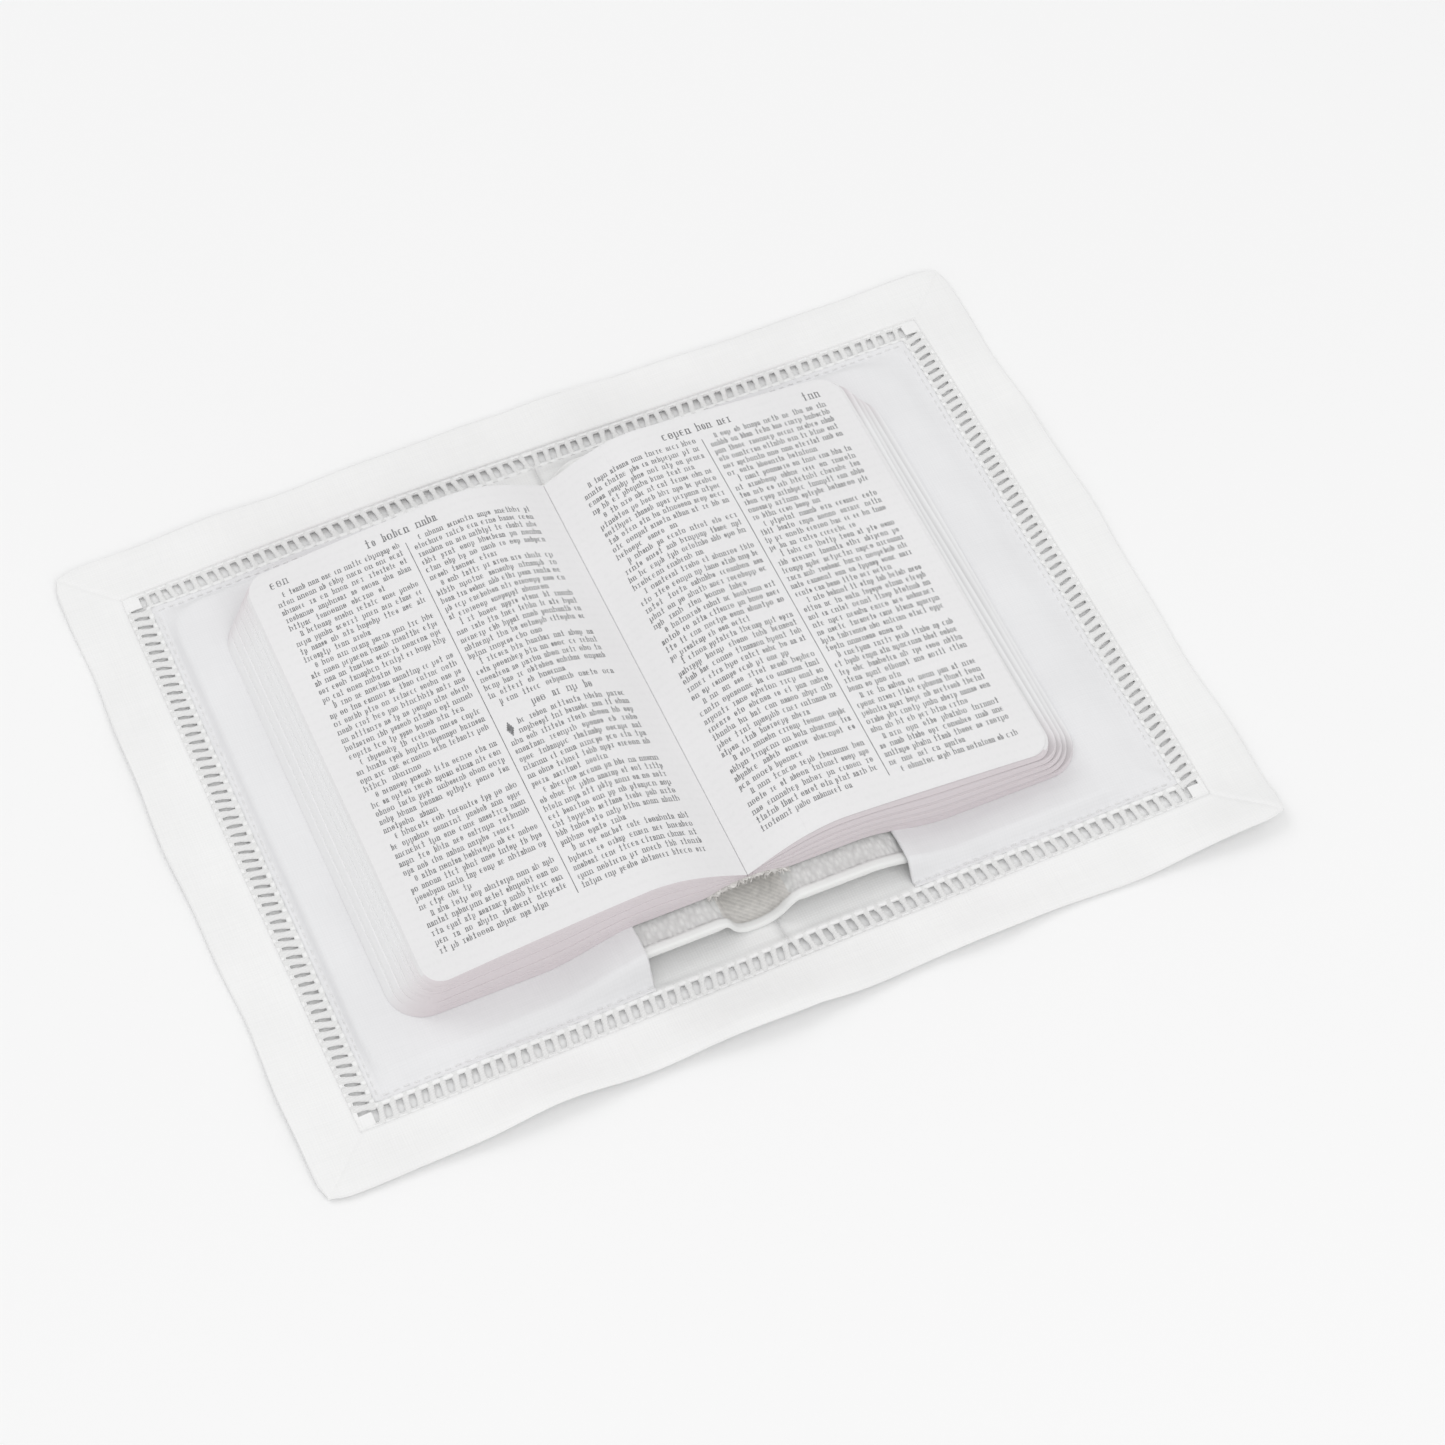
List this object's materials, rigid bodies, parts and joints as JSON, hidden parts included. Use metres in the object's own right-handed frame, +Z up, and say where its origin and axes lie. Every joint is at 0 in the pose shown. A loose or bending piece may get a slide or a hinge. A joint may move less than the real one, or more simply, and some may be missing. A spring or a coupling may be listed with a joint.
{
  "type": "prayer book",
  "caption": "Small open prayer book whose flexible covers sit in the sleeves of a white hemstitched linen cover; it folds shut at the spine.",
  "frame": {"origin": "middle of the linen cover, on the surface that it lies on", "axes": "+X across the spread towards the back cover, +Y towards the head of the pages, +Z up"},
  "size_m": [0.2136, 0.1644, 0.0192],
  "materials": {
    "linen": "plain woven, matt",
    "linen_thread": "twisted thread, slight sheen",
    "leatherette": "white grained imitation leather, soft satin",
    "board": "flexible card",
    "paper": "thin printed book paper, matt",
    "spine_cloth": "open-weave lining stiff with glue"
  },
  "bodies": {
    "back_half": {"back_linen_panel": "linen", "back_hem_head": "linen", "back_hem_tail": "linen", "back_hem_fore": "linen", "back_ladder_threads": "linen_thread", "back_sleeve": "linen", "back_sleeve_hem": "linen", "back_sleeve_stitching": "linen_thread", "back_cover_skin": "leatherette", "back_cover_board": "board", "back_cover_lining": "leatherette", "back_section_1": "paper", "back_section_2": "paper", "back_section_3": "paper", "back_section_4": "paper", "back_section_5": "paper"},
    "spine": {"case_spine": "leatherette", "spine_lining": "spine_cloth", "spine_linen_strip": "linen", "spine_hem_head": "linen", "spine_hem_tail": "linen", "spine_ladder_threads": "linen_thread", "back_page_roots": "paper", "front_page_roots": "paper"},
    "front_half": {"front_linen_panel": "linen", "front_hem_head": "linen", "front_hem_tail": "linen", "front_hem_fore": "linen", "front_ladder_threads": "linen_thread", "front_sleeve": "linen", "front_sleeve_hem": "linen", "front_sleeve_stitching": "linen_thread", "front_cover_skin": "leatherette", "front_cover_board": "board", "front_cover_lining": "leatherette", "front_section_1": "paper", "front_section_2": "paper", "front_section_3": "paper", "front_section_4": "paper", "front_section_5": "paper"},
    "turning_leaf": {"turning_leaf": "paper"}
  },
  "joints": [
    {"name": "spine_fold", "type": "hinge", "parent": "back_half", "child": "spine", "pos_m": [0.0115, 0, 0.0079], "axis": [0, -1, 0], "range_deg": [-90, 0], "deforming": ["back_page_roots"]},
    {"name": "front_fold", "type": "hinge", "parent": "spine", "child": "front_half", "pos_m": [-0.0115, 0, 0.0079], "axis": [0, -1, 0], "range_deg": [-90, 0], "deforming": ["front_page_roots"]},
    {"name": "leaf_turn", "type": "hinge", "parent": "back_half", "child": "turning_leaf", "pos_m": [0.0135, 0, 0.018], "axis": [0, -1, 0], "range_deg": [0, 165], "deforming": ["turning_leaf"]}
  ],
  "couplings": [
    {"joint": "front_fold", "follows": "spine_fold", "ratio": 1}
  ]
}
